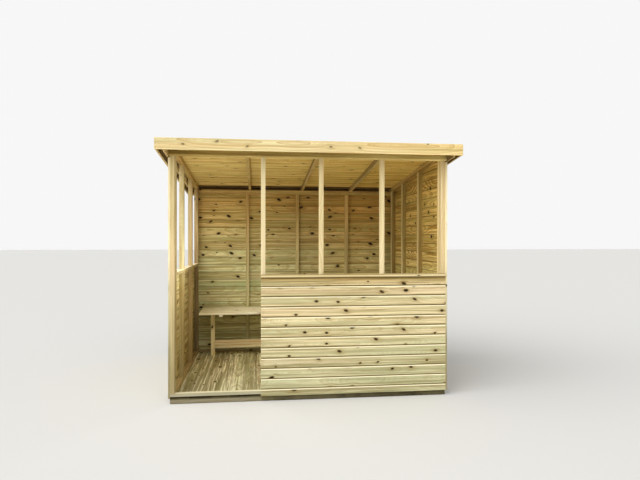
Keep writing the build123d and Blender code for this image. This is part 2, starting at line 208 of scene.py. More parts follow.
def joint_lines_and_painted_light(bench, base, across, outside):
    """The joints between courses of shiplap, on both faces of the boards: outside with a painted
    highlight and painted shade, inside as thin dark lines.
    """
    # Outside: a painted highlight on each hollow edge, and painted shade in the pocket under the
    # next board's lip and along the lower edge of each board
    hollow_highlight = beyond(across, 71.5 * MM, 2.5 * MM) * outside
    pocket_shade = beyond(across, 79.0 * MM, 3.0 * MM) * outside
    lip_shade = short_of(across, 3.5 * MM, 1.5 * MM) * outside
    base = bench.mix(hollow_highlight * 0.8, base, (0.98, 0.92, 0.66))
    base = bench.mix(pocket_shade * 0.95, base, (0.11, 0.070, 0.010))
    base = bench.mix(lip_shade * 0.8, base, (0.19, 0.125, 0.0))
    # On the inner faces they are thin dark lines
    under = beyond(across, 93.0 * MM, 4.0 * MM)
    over = short_of(across, 16.0 * MM, 3.0 * MM)
    return bench.mix((under + over) * (1.0 - outside) * 0.6, base, (0.09, 0.06, 0.015))


def softwood(
    name, pale, deep,
    green=(0.50, 0.50, 0.22), greened=0.2, blush=(0.74, 0.47, 0.25), blushed=0.25,
    knot_share=0.45, knot_size=9.0, knot_depth=1.0,
    spread=0.5, streaks=2.2, rings=0.35, ring_lines=47.0, arches=0.05,
    edged=False, outer=None, shaded_ends=False, shaded_side=0.0, shaded_inside=0.0,
    pale_lip=None, tones=(), soil=0.0, roughness=0.62,
):
    """Planed treated softwood: rings, streaks, knots and a tone for each timber.

    The tones are (axis, (start, end), first tone, last tone, how patchy): each
    tints the timber by its place on the building, and many of them paint light and
    shade there. Knot sizes are in millimetres.
    """
    finish, bench = new_finish(name)
    along, through, across = bench.parts(bench.attribute("own").outputs["Vector"])
    board = Number(bench, bench.attribute("board").outputs["Fac"])
    luck = bench.node("ShaderNodeTexWhiteNoise", {"noise_dimensions": "1D"}, {"W": board * 91.7})
    luck_pith, luck_hue, luck_tone = bench.parts(luck.outputs["Color"])
    shifted = along + board * 61.0

    # Knots lie one to a cell, in cells as long as three board widths
    knots_along, knots_across = 3.4, 11.0
    slanted = across + through * 0.9
    cell_x = shifted * knots_along
    cell_y = slanted * knots_across + board * 23.0
    cells = bench.node(
        "ShaderNodeTexVoronoi",
        {"voronoi_dimensions": "2D"},
        {"Vector": bench.point(cell_x, cell_y, 0.0), "Scale": 1.0},
    )
    knot_x, knot_y, _ = bench.parts(cells.outputs["Position"])
    chance, bulk, kind = bench.parts(cells.outputs["Color"])
    off_along = (knot_x - cell_x) / knots_along
    off_across = (knot_y - cell_y) / knots_across
    ragged = bench.noise(bench.point(along, through, across), scale=150.0) - 0.5
    leaning = off_across + off_along * (kind - 0.5) * 0.7
    distance = (off_along * off_along * 0.36 + leaning * leaning).root()
    distance = distance + ragged * 5.0 * MM
    present = chance < knot_share
    radius = bulk * (knot_size * MM) + 5.0 * MM
    knot = ((radius - distance) / (radius * 0.22)).clamped() * present
    halo = (distance / (radius * 2.5)).falloff() * present
    rim = ((distance - radius * 0.9) / (radius * 0.35)).falloff() * present

    # Growth rings round a pith that wanders along the timber and passes each knot
    lane = bench.point(shifted, board * 7.0, 0.0)
    wander = bench.noise(lane, scale=1.3, detail=1.0) - 0.5
    bend = bench.noise(bench.point(shifted * 2.2, through * 18.0, across * 18.0), detail=3.0) - 0.5
    from_pith_across = across - 0.045 - (luck_pith - 0.5) * 0.09 - wander * 0.05
    from_pith_deep = through + 0.012 + luck_hue * 0.06 + wander * arches * 4.0
    ring_radius = (from_pith_across * from_pith_across + from_pith_deep * from_pith_deep).root()
    ring_radius = ring_radius + halo * 8.0 * MM + bend * 12.0 * MM
    fine_ring = (ring_radius * 190.0).fraction() ** 3.0
    broad_ring = (ring_radius * ring_lines).fraction() ** 2.0

    # Streaks that flow round the knots
    flow = across + halo * leaning * 0.9 + bend * 0.008
    streak_place = bench.point(shifted, through * 30.0 + board * 19.0, flow * 80.0)
    streak = bench.noise(streak_place, detail=3.0) - 0.5
    band = bench.noise(bench.point(shifted * 1.3, board * 43.0, flow * 34.0)) - 0.5
    slow = bench.noise(bench.point(shifted * 1.7, board * 31.0, flow * 13.0)) - 0.5
    hue = bench.noise(bench.point(shifted * 0.9 + 40.0, board * 13.0, flow * 21.0)) - 0.5

    tone = (luck_tone - 0.5) * spread + (streak + band * 0.6) * streaks + slow * 0.8 + 0.5
    base = bench.mix(tone.clamped(), deep, pale)
    outside = through < SHIPLAP_FACE
    if outer:
        base = bench.mix(outside, base, bench.mix(tone.clamped(), outer[1], outer[0]))
    base = bench.mix((hue * 5.0 + (luck_hue - 0.45)).clamped() * greened, base, green)
    base = bench.mix((hue * -5.0 + (0.5 - luck_hue)).clamped() * blushed, base, blush)
    warm = tuple(channel * factor for channel, factor in zip(deep, (0.86, 0.66, 0.45)))
    ring_share = broad_ring * rings * (luck_pith * 1.2 + 0.4)
    if outer:
        ring_share = ring_share * (1.0 - outside * 0.5)
    base = bench.mix((ring_share + fine_ring * 0.25).clamped(), base, warm)
    for axis, (start, end), first_tone, last_tone, patchy in tones:
        place = bench.object_place()
        patch = bench.noise(place, scale=2.6, detail=3.0) - 0.5
        share = ((bench.parts(place)[axis] - start) / (end - start) + patch * patchy).clamped()
        tint = bench.mix(share, first_tone, last_tone)
        if outer:
            tint = bench.mix(outside, tint, PLAIN)
        base = bench.mix(1.0, base, tint, blend="MULTIPLY")
    base = bench.mix((halo * 0.45 * knot_depth).clamped(), base, (0.30, 0.21, 0.06))
    dead, live = (0.016, 0.010, 0.005), (0.07, 0.04, 0.014)
    heart = bench.mix((kind * 1.4 - 0.5).clamped(), dead, live)
    base = bench.mix((rim * 0.6 * knot_depth).clamped(), base, (0.10, 0.06, 0.022))
    base = bench.mix(knot.clamped() * knot_depth, base, heart)
    if edged:
        base = joint_lines_and_painted_light(bench, base, across, outside)
    if pale_lip:
        base = bench.mix(beyond(across, pale_lip, 4.0 * MM) * 0.5, base, (1.0, 0.88, 0.52))
    if shaded_side:
        base = bench.mix((through < 0.6 * MM) * shaded_side, base, (0.12, 0.07, 0.02))
    if shaded_inside:
        # The faces of the two barge boards that look at each other
        sideways, _, _ = bench.parts(bench.object_place())
        leftmost = (sideways < 0.0) * (through > BARGE_THICKNESS - 0.6 * MM)
        rightmost = (sideways > 0.0) * (through < 0.6 * MM)
        base = bench.mix((leftmost + rightmost) * shaded_inside, base, (0.08, 0.05, 0.02))
    # Painted shade on the front end of each board, where the floor runs in under the threshold
    if shaded_ends:
        base = bench.mix((1.0 - along / (5.0 * MM)).clamped(), base, (0.02, 0.014, 0.005))
    height = fine_ring * 0.35 + streak + knot * 0.6
    rough = (fine_ring * 0.08 + roughness + streak * 0.3).clamped()

    if soil:
        place = bench.object_place()
        patches = bench.noise(place, scale=5.0, detail=5.0, roughness=0.62)
        grit = bench.noise(place, scale=90.0, detail=3.0)
        dirt = ((patches - 0.38) * 2.6 + (grit - 0.5) * 0.7).clamped() * soil
        base = bench.mix(dirt, base, (0.21, 0.19, 0.10))
        rough = (rough + dirt * 0.2).clamped()

    close_finish(bench, base, rough, height, relief=0.0004, Specular_IOR_Level=0.12)
    return finish


def galvanised_steel():
    """Grey nail heads, dulled by the weather."""
    finish, bench = new_finish("galvanised_nails")
    place = bench.object_place()
    speckle = bench.noise(place, scale=900.0)
    base = bench.mix(speckle.clamped(), (0.20, 0.20, 0.19), (0.42, 0.42, 0.40))
    close_finish(bench, base, (speckle * 0.25 + 0.4).clamped(), Metallic=0.8)
    return finish


def mineral_felt():
    """Dark green-grey roofing felt with a coat of fine slate chips."""
    finish, bench = new_finish("mineral_felt")
    place = bench.object_place()
    chips = bench.node("ShaderNodeTexVoronoi", inputs={"Vector": place, "Scale": 520.0})
    chance, _, _ = bench.parts(chips.outputs["Color"])
    patches = bench.noise(place, scale=3.0, detail=4.0)
    base = bench.mix(chance.clamped(), (0.030, 0.040, 0.033), (0.105, 0.125, 0.100))
    base = bench.mix((patches * 0.5).clamped(), base, (0.085, 0.085, 0.072))
    close_finish(bench, base, (chance * 0.15 + 0.8).clamped(), chance, relief=0.0006, strength=0.6)
    return finish


FASCIA_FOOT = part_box("front_fascia")[0].z
# A painted highlight along the foot of the fascia, where light falls from below
FASCIA_HIGHLIGHT = (FASCIA_FOOT + 4.0 * MM, FASCIA_FOOT + 9.0 * MM)
ACROSS, DEEP, UPRIGHT = X, Y, Z
OUTSIDE = ((0.83, 0.74, 0.46), (0.40, 0.34, 0.17))

finishes = {
    "shiplap": softwood(
        "shiplap_outside", *OUTSIDE,
        green=(0.54, 0.55, 0.33), greened=0.6, blush=(0.76, 0.58, 0.40), blushed=0.4,
        knot_share=0.78, spread=0.7, streaks=4.4, rings=0.22, edged=True,
        tones=(
            (UPRIGHT, (0.05, 0.70), (0.70, 0.78, 0.80), PLAIN, 0.5),
            # Painted shadow under the sill, darkest right below it
            (UPRIGHT, (0.975, 1.050), PLAIN, (0.66, 0.56, 0.38), 0.1),
            (UPRIGHT, (1.046, 1.056), PLAIN, (0.34, 0.30, 0.18), 0.0),
        ),
    ),
    "lining": softwood(
        "shiplap_inside", (0.82, 0.69, 0.35), (0.40, 0.31, 0.11),
        green=(0.46, 0.49, 0.23), greened=0.5, blush=(0.61, 0.42, 0.21), blushed=0.4,
        knot_share=0.7, knot_size=10.0, spread=0.8, streaks=4.4, edged=True, outer=OUTSIDE,
        tones=(
            # Warmer high up and paler low down: partly the timber's colour, partly painted warm
            # bounce light
            (UPRIGHT, (0.9, 1.75), (1.05, 1.24, 1.42), (1.02, 0.88, 0.65), 0.5),
            (ACROSS, (-0.6, 0.0), PLAIN, (0.85, 0.82, 0.79), 0.3),
            (ACROSS, (0.2, 0.7), PLAIN, (1.20, 1.17, 1.10), 0.3),
            # Painted shade in the right-hand corner
            (ACROSS, (1.0, 1.19), PLAIN, (0.62, 0.64, 0.60), 0.2),
        ),
    ),
    "left_lining": softwood(
        "left_wall_inside", (0.88, 0.76, 0.39), (0.42, 0.33, 0.13),
        green=(0.44, 0.48, 0.22), greened=0.5, blush=(0.58, 0.38, 0.18), blushed=0.15,
        knot_share=0.4, streaks=4.4, arches=0.04, edged=True, outer=OUTSIDE,
        tones=((UPRIGHT, (0.1, 0.9), (0.80, 0.74, 0.62), PLAIN, 0.5),),
    ),
    "swirled": softwood(
        "side_wall_inside", (0.87, 0.72, 0.33), (0.37, 0.28, 0.09),
        green=(0.52, 0.52, 0.22), greened=0.5, blush=(0.66, 0.46, 0.20), blushed=0.2,
        knot_share=0.3, knot_size=10.0, spread=1.0, streaks=4.4, rings=0.75, ring_lines=60.0,
        edged=True, outer=OUTSIDE,
        tones=(
            # Warmer high up and paler low down: partly the timber's colour, partly painted warm
            # bounce light
            (UPRIGHT, (0.4, 1.5), (0.96, 1.06, 1.06), (1.0, 0.90, 0.66), 0.5),
            (DEEP, (-0.9, 0.0), (1.20, 1.22, 1.22), PLAIN, 0.2),
        ),
    ),
    "roof": softwood(
        "roof_board_softwood", (0.95, 0.77, 0.32), (0.50, 0.37, 0.09),
        green=(0.62, 0.55, 0.20), greened=0.35, blush=(0.74, 0.46, 0.20), blushed=0.3,
        knot_share=0.35, knot_size=6.0, streaks=4.2, rings=0.6, pale_lip=99.0 * MM,
        tones=(
            # Painted shade on the underside of the boards over the back eaves
            (DEEP, (0.82, 0.86), PLAIN, (0.26, 0.18, 0.10), 0.1),
            (ACROSS, (-0.6, 1.0), PLAIN, (1.36, 1.36, 1.24), 0.2),
        ),
    ),
    "trim": softwood(
        "barge_softwood", (0.88, 0.74, 0.43), (0.52, 0.39, 0.18),
        blush=(0.76, 0.50, 0.21), blushed=0.35, knot_share=0.6, knot_size=5.0, streaks=2.6,
        shaded_inside=0.75,
    ),
    "fascia": softwood(
        "fascia_softwood", (0.82, 0.73, 0.43), (0.51, 0.42, 0.20),
        blush=(0.76, 0.50, 0.21), blushed=0.3, knot_share=0.8, knot_size=4.0, knot_depth=0.6,
        streaks=2.4,
        tones=(
            (ACROSS, (0.2, 1.3), PLAIN, (1.06, 0.99, 0.84), 0.2),
            # Painted highlight along the foot
            (UPRIGHT, FASCIA_HIGHLIGHT, (1.16, 1.18, 1.25), PLAIN, 0.0),
        ),
    ),
    "back_trim": softwood(
        "back_fascia_softwood", (0.88, 0.74, 0.43), (0.52, 0.39, 0.18),
        streaks=2.6,
        # Painted shade on the inner face
        tones=((DEEP, (1.014, 1.018), (0.34, 0.24, 0.14), PLAIN, 0.0),),
    ),
    "header": softwood(
        "header_softwood", (0.92, 0.84, 0.40), (0.50, 0.42, 0.16),
        blush=(0.76, 0.54, 0.26), knot_share=0.2, knot_size=3.0, streaks=3.2,
        tones=(
            (ACROSS, (-1.2, 0.9), (0.66, 0.62, 0.50), (1.24, 1.32, 1.5), 0.3),
            # A painted highlight on the lower edge and painted shadow of the fascia above it
            (UPRIGHT, (2.108, 2.114), (1.25, 1.2, 1.2), (0.72, 0.66, 0.56), 0.0),
        ),
    ),
    "front": softwood(
        "front_frame_softwood", (0.92, 0.82, 0.53), (0.62, 0.52, 0.29),
        green=(0.66, 0.65, 0.38), greened=0.3, blush=(0.84, 0.64, 0.42), blushed=0.35,
        knot_share=0.14, knot_size=3.0, streaks=2.6,
        tones=((UPRIGHT, (0.0, 1.35), (0.48, 0.48, 0.44), PLAIN, 0.3),),
    ),
    "jamb": softwood(
        "jamb_softwood", (0.97, 0.92, 0.64), (0.72, 0.65, 0.40),
        green=(0.72, 0.72, 0.44), greened=0.3, blush=(0.90, 0.72, 0.50), blushed=0.3,
        knot_share=0.14, knot_size=3.0, streaks=2.6,
        tones=((UPRIGHT, (0.0, 1.35), (0.48, 0.48, 0.44), PLAIN, 0.3),),
    ),
    "left_post": softwood(
        "left_post_softwood", (0.90, 0.80, 0.50), (0.56, 0.46, 0.24),
        green=(0.62, 0.58, 0.34), blush=(0.88, 0.64, 0.42), blushed=0.5, knot_share=0.1,
        knot_size=3.0, streaks=3.0,
        tones=(
            (UPRIGHT, (0.0, 1.35), (0.44, 0.44, 0.40), PLAIN, 0.3),
            # A painted highlight on the post's inner face
            (ACROSS, (-1.1548, -1.1538), (0.94, 0.94, 0.90), (1.5, 1.5, 1.5), 0.0),
        ),
    ),
    "sill": softwood(
        "sill_softwood", (0.92, 0.82, 0.53), (0.66, 0.56, 0.31),
        knot_share=0.1, knot_size=3.0,
        tones=(
            (UPRIGHT, (1.0815, 1.0840), PLAIN, (0.40, 0.34, 0.22), 0.0),
            # Painted shade along the lower edge
            (UPRIGHT, (1.0680, 1.0730), (0.62, 0.58, 0.48), PLAIN, 0.0),
        ),
    ),
    "plate": softwood(
        "threshold_softwood", (1.0, 0.96, 0.70), (0.78, 0.73, 0.49),
        greened=0.25, knot_share=0.3, knot_size=4.0, streaks=3.4, soil=0.15, roughness=0.7,
        # A painted highlight on the top face and painted shade on the front face
        tones=((UPRIGHT, (0.0870, 0.0895), (0.44, 0.45, 0.47), (1.5, 1.5, 1.5), 0.0),),
    ),
    "strip": softwood(
        "corner_strip_softwood", (0.95, 0.92, 0.70), (0.80, 0.75, 0.50),
        green=(0.78, 0.79, 0.52), greened=0.15, blush=(0.95, 0.80, 0.58), blushed=0.2,
        knot_share=0.1, knot_size=2.0,
        tones=((UPRIGHT, (0.45, 1.25), (0.36, 0.35, 0.30), PLAIN, 0.4),),
    ),
    "stud": softwood(
        "inner_frame_softwood", (0.74, 0.62, 0.32), (0.38, 0.29, 0.12),
        greened=0.35, blush=(0.54, 0.35, 0.17), blushed=0.35, knot_share=0.25, knot_size=4.0,
        streaks=3.2,
        # Warmer high up: partly the timber's colour, partly painted warm bounce light
        tones=((UPRIGHT, (0.9, 1.75), (0.96, 1.06, 1.12), (1.0, 0.88, 0.70), 0.4),),
    ),
    "left_stud": softwood(
        "left_stud_softwood", (0.80, 0.72, 0.44), (0.50, 0.41, 0.20),
        green=(0.54, 0.55, 0.28), greened=0.4, blush=(0.66, 0.48, 0.30), blushed=0.35,
        knot_share=0.25, knot_size=4.0, streaks=3.2,
        tones=(
            (DEEP, (-0.4, 0.6), PLAIN, (0.80, 0.76, 0.68), 0.3),
            (UPRIGHT, (0.9, 1.15), (0.88, 0.82, 0.68), PLAIN, 0.2),
        ),
    ),
    "side_sill": softwood(
        "side_sill_softwood", (1.0, 0.96, 0.72), (0.90, 0.82, 0.56),
        greened=0.1, blushed=0.1, knot_share=0.0,
        # Painted shade on the faces below the top, which stays pale
        tones=((UPRIGHT, (1.105, 1.109), (0.54, 0.48, 0.34), PLAIN, 0.0),),
    ),
    "rafter": softwood(
        "rafter_softwood", (0.84, 0.68, 0.34), (0.46, 0.34, 0.13),
        blush=(0.60, 0.38, 0.18), knot_share=0.25, knot_size=4.0, streaks=3.2, shaded_side=0.5,
    ),
    "side_stud": softwood(
        "side_stud_softwood", (0.78, 0.66, 0.36), (0.44, 0.34, 0.15),
        greened=0.35, blush=(0.60, 0.40, 0.20), knot_share=0.25, knot_size=4.0, streaks=3.0,
        tones=(
            # A painted highlight on the studs' inner faces and painted shade on their front faces
            (ACROSS, (1.158, 1.166), (1.35, 1.4, 1.5), (0.74, 0.66, 0.44), 0.0),
            (DEEP, (0.0, 0.6), PLAIN, (0.75, 0.75, 0.72), 0.2),
        ),
    ),
    # Painted shade: dark timber standing in for the shade under the bench and in the back left
    # corner, lighter up high
    "shaded": softwood(
        "painted_shade_softwood", (0.40, 0.31, 0.16), (0.18, 0.13, 0.06),
        blush=(0.34, 0.22, 0.10), blushed=0.3, streaks=3.0,
        tones=((UPRIGHT, (0.9, 1.4), PLAIN, (1.8, 1.8, 1.8), 0.2),),
    ),
    # Paler than the timber's own colour, and paler still towards the back: painted light for the
    # dim room
    "floor": softwood(
        "floor_softwood", (1.0, 0.96, 0.66), (0.30, 0.27, 0.13),
        green=(0.44, 0.46, 0.22), greened=0.5, blush=(0.70, 0.58, 0.38), spread=2.0,
        streaks=6.4, rings=0.6, shaded_ends=True, soil=0.4, roughness=0.7,
        tones=((DEEP, (-0.9, 0.2), (0.80, 0.80, 0.77), (1.40, 1.36, 1.30), 0.4),),
    ),
    "bearer": softwood(
        "bearer_softwood", (0.25, 0.22, 0.17), (0.13, 0.115, 0.085),
        greened=0.15, knot_share=0.0, soil=0.5, roughness=0.8,
        tones=(
            # Darker to the right of the doorway: painted shade under the overhanging cladding
            (ACROSS, (-0.445, -0.425), PLAIN, (0.42, 0.41, 0.34), 0.0),
            (ACROSS, (-0.2, 0.9), PLAIN, (0.60, 0.60, 0.54), 0.1),
            # Painted shade along the foot and along the top, under the plate and the cladding
            (UPRIGHT, (0.0, 0.010), (0.35, 0.33, 0.30), PLAIN, 0.0),
            (UPRIGHT, (0.030, 0.040), PLAIN, (0.30, 0.28, 0.20), 0.0),
        ),
    ),
    # The bench's boards, legs and stretcher are paler than the timber's own colour: painted light
    # for the dim room
    "bench": softwood(
        "bench_softwood", (1.0, 0.99, 0.77), (0.94, 0.88, 0.58),
        green=(0.74, 0.75, 0.47), greened=0.3, blush=(0.96, 0.78, 0.56), knot_share=0.25,
        streaks=2.6,
    ),
    "bench_leg": softwood(
        "bench_leg_softwood", (1.0, 0.96, 0.60), (0.86, 0.68, 0.34),
        greened=0.1, blush=(0.96, 0.72, 0.42), blushed=0.4, knot_share=0.3, knot_size=3.0,
        streaks=3.6,
    ),
    "leg": softwood(
        "bench_frame_softwood", (1.0, 0.86, 0.52), (0.60, 0.42, 0.19),
        blush=(0.84, 0.54, 0.26), blushed=0.4, knot_share=0.4, knot_size=3.0, streaks=3.0,
    ),
}
nail_finish = galvanised_steel()
felt_finish = mineral_felt()


# ---- Shared making ----


def add_object(name, data):
    made = bpy.data.objects.new(name, data)
    bpy.context.scene.collection.objects.link(made)
    return made


def mesh_of(work, name, *materials):
    """What a bmesh holds, as a mesh. The bmesh is used up."""
    mesh = bpy.data.meshes.new(name)
    work.to_mesh(mesh)
    work.free()
    for material in materials:
        mesh.materials.append(material)
    return mesh


def kept(piece, slot, *replaced):
    """A finished piece rides on the building and takes the place of its solids."""
    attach(piece, "root")
    if replaced:
        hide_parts(*replaced)


def tree_result(name, mesh, tree, **values):
    """Runs a geometry tree on a mesh and returns the outcome as a plain mesh object."""
    carrier = add_object(name + "_pattern", mesh)
    modifier = carrier.modifiers.new("pattern", "NODES")
    modifier.node_group = tree
    for item in tree.interface.items_tree:
        if item.name in values:
            modifier[item.identifier] = values[item.name]
    bpy.context.view_layer.update()
    graph = bpy.context.evaluated_depsgraph_get()
    made = bpy.data.meshes.new_from_object(carrier.evaluated_get(graph))
    made.name = name
    bpy.data.objects.remove(carrier)
    return add_object(name, made)


def new_tree(name, **inputs):
    tree = bpy.data.node_groups.new(name, "GeometryNodeTree")
    tree.interface.new_socket("Geometry", in_out="INPUT", socket_type="NodeSocketGeometry")
    for label, kind in inputs.items():
        tree.interface.new_socket(label, in_out="INPUT", socket_type="NodeSocket" + kind)
    tree.interface.new_socket("Geometry", in_out="OUTPUT", socket_type="NodeSocketGeometry")
    bench = Bench(tree)
    return tree, bench, bench.node("NodeGroupInput").outputs


def stored(bench, geometry, name, value, kind, domain):
    settings = {"data_type": kind, "domain": domain}
    inputs = {"Geometry": geometry, "Name": name, "Value": value}
    return bench.node("GeometryNodeStoreNamedAttribute", settings, inputs).outputs[0]


def course_tree():
    """Lays copies of one board in a row, each with its own random number."""
    tree, bench, given = new_tree(
        "courses_of_boards",
        Count="Int", Start="Vector", Step="Vector", Turn="Rotation", Play="Vector",
        Seed="Int", Finish="Material",
    )
    place = bench.node("GeometryNodeInputPosition").outputs[0]
    own = stored(bench, given["Geometry"], "own", place, "FLOAT_VECTOR", "POINT")
    line = bench.node(
        "GeometryNodeMeshLine",
        {"mode": "OFFSET"},
        {"Count": given["Count"], "Start Location": given["Start"], "Offset": given["Step"]},
    )
    least = bench.node(
        "ShaderNodeVectorMath", {"operation": "SCALE"}, {0: given["Play"], "Scale": -1.0}
    )
    jitter = bench.node(
        "FunctionNodeRandomValue",
        {"data_type": "FLOAT_VECTOR"},
        {"Min": least.outputs[0], "Max": given["Play"], "Seed": given["Seed"]},
    )
    moved = bench.node(
        "GeometryNodeSetPosition",
        inputs={"Geometry": line.outputs[0], "Offset": jitter.outputs[0]},
    )
    laid = bench.node(
        "GeometryNodeInstanceOnPoints",
        inputs={"Points": moved.outputs[0], "Instance": own, "Rotation": given["Turn"]},
    )
    number = bench.node("FunctionNodeRandomValue", {"data_type": "FLOAT"}, {"Seed": given["Seed"]})
    numbered = stored(bench, laid.outputs[0], "board", number.outputs[1], "FLOAT", "INSTANCE")
    finish_tree(bench, numbered, given["Finish"])
    return tree


def nail_tree():
    """Puts a slightly domed nail head on every point of the mesh it is given."""
    tree, bench, given = new_tree(
        "nail_heads",
        Facing="Rotation", Radius="Float", Stand="Float", Seed="Int", Finish="Material",
    )
    radius = given["Radius"]
    sizes = {"Radius Bottom": radius, "Radius Top": Number(bench, radius) * 0.72}
    head = bench.node(
        "GeometryNodeMeshCone", inputs={"Vertices": 10, **sizes, "Depth": given["Stand"]}
    )
    scale = bench.node(
        "FunctionNodeRandomValue", {"data_type": "FLOAT"}, {2: 0.85, 3: 1.15, "Seed": given["Seed"]}
    )
    laid = bench.node(
        "GeometryNodeInstanceOnPoints",
        inputs={
            "Points": given["Geometry"], "Instance": head.outputs[0],
            "Rotation": given["Facing"], "Scale": scale.outputs[1],
        },
    )
    finish_tree(bench, laid.outputs[0], given["Finish"])
    return tree


def finish_tree(bench, geometry, material):
    real = bench.node("GeometryNodeRealizeInstances", inputs={"Geometry": geometry})
    dressed = bench.node(
        "GeometryNodeSetMaterial", inputs={"Geometry": real.outputs[0], "Material": material}
    )
    bench.node("NodeGroupOutput", inputs={"Geometry": dressed.outputs[0]})


courses = course_tree()
nail_heads = nail_tree()


def board_mesh(length, outline):
    """One board: its outline, as (through, across) points, drawn out along its length."""
    work = bmesh.new()
    near = [work.verts.new((0.0, y, z)) for y, z in outline]
    far = [work.verts.new((length, y, z)) for y, z in outline]
    work.faces.new(near)
    work.faces.new(far)
    count = len(outline)
    for i in range(count):
        j = (i + 1) % count
        work.faces.new((near[i], near[j], far[j], far[i]))
    bmesh.ops.recalc_face_normals(work, faces=work.faces)
    return mesh_of(work, "one_board")


def trimmed(piece, cuts):
    """Cuts every board of a piece off at planes, given as (point, outward direction)."""
    work = bmesh.new()
    work.from_mesh(piece.data)
    for point, outward in cuts:
        everything = work.verts[:] + work.edges[:] + work.faces[:]
        cut = bmesh.ops.bisect_plane(
            work, geom=everything, plane_co=point, plane_no=outward, clear_outer=True, dist=1e-7
        )
        edges = [item for item in cut["geom_cut"] if isinstance(item, bmesh.types.BMEdge)]
        bmesh.ops.holes_fill(work, edges=edges, sides=0)
    bmesh.ops.recalc_face_normals(work, faces=work.faces)
    work.to_mesh(piece.data)
    work.free()


def turn(along, through):
    """The rotation that lays a board's length and thickness along two directions."""
    x = Vector(along).normalized()
    y = Vector(through).normalized()
    return Matrix((x, y, x.cross(y))).transposed().to_euler()


def lay_boards(
    name, outline, length,
    count, start, step,
    along, through,
    finish, seed, play=(0.0, 0.0, 0.0),
):
    """A row of boards from one place on, the play moving each a little at random."""
    return tree_result(
        name, board_mesh(length, outline), courses,
        Count=count, Start=tuple(start), Step=tuple(step), Turn=tuple(turn(along, through)),
        Play=tuple(play), Seed=seed, Finish=finishes[finish],
    )


def shiplap_outline():
    """Face at 0, back at 16 mm: hollowed top edge, tongue behind, rebate below."""
    points = (
        (0.9, 0.0), (0.0, 0.9), (0.0, 75.6), (0.5, 76.6), (2.0, 77.6), (4.0, 79.6),
        (5.8, 82.6), (7.0, 86.2), (7.4, 90.0), (7.4, 98.0), (15.6, 98.0), (16.0, 97.6),
        (16.0, 11.6), (15.4, 11.0), (8.6, 11.0), (8.6, 0.0),
    )
    return [(y * MM, z * MM) for y, z in points]


def eased_outline(thickness, width, ease):
    """A plain board with its corners taken off."""
    return [
        (ease, 0.0), (0.0, ease),
        (0.0, width - ease), (ease, width),
        (thickness - ease, width), (thickness, width - ease),
        (thickness, ease), (thickness - ease, 0.0),
    ]


# ---- Cladding ----


def lowest_course(bottom):
    """The lower edge of the board that a wall's foot cuts or touches."""
    below = math.ceil((SHIPLAP_LEVEL - bottom) / SHIPLAP_PITCH)
    return SHIPLAP_LEVEL - below * SHIPLAP_PITCH


def make_cladding():
    """Courses of shiplap in the place of each wall's slab, cut to its outline."""
    walls = (
        ("front_cladding", (1, 0, 0), (0, 1, 0), "shiplap", 11),
        ("left_cladding", (0, -1, 0), (1, 0, 0), "left_lining", 23),
        ("right_cladding", (0, 1, 0), (-1, 0, 0), "swirled", 37),
        ("back_cladding", (-1, 0, 0), (0, -1, 0), "lining", 53),
    )
    for node, along, through, finish, seed in walls:
        low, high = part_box(node)
        along, through = Vector(along), Vector(through)
        corner = Vector((0.0, 0.0, lowest_course(low.z)))
        count = math.ceil((high.z - lowest_course(low.z)) / SHIPLAP_PITCH)
        for axis in (X, Y):
            forward = along[axis] + through[axis] > 0.0
            corner[axis] = low[axis] if forward else high[axis]
        wall = lay_boards(
            node + "_boards", shiplap_outline(), abs((high - low).dot(along)),
            count, corner, (0.0, 0.0, SHIPLAP_PITCH),
            along, through,
            finish, seed, Vector((abs(along.x), abs(along.y), 0.0)) * SHIPLAP_LENGTH_PLAY,
        )
        cuts = [((0.0, 0.0, low.z), (0, 0, -1))]
        if node in ("right_cladding", "back_cladding"):
            # These two reach up to the falling roof
            cuts.append(((0.0, low.y, high.z), (0.0, ROOF_FALL, 1.0)))
        else:
            cuts.append(((0.0, 0.0, high.z), (0, 0, 1)))
        trimmed(wall, cuts)
        kept(wall, slot_of[node], node)


# ---- Framing ----


def islands(work):
    """The separate timbers of one node, from left to right, front to back, low to high."""
    left = set(work.verts)
    found = []
    while left:
        seed = left.pop()
        group, reach = {seed}, [seed]
        while reach:
            for edge in reach.pop().link_edges:
                for vert in edge.verts:
                    if vert in left:
                        left.discard(vert)
                        group.add(vert)
                        reach.append(vert)
        found.append(list(group))

    def corner(group):
        return tuple(round(min(vert.co[axis] for vert in group), 5) for axis in (X, Y, Z))

    return sorted(found, key=corner)


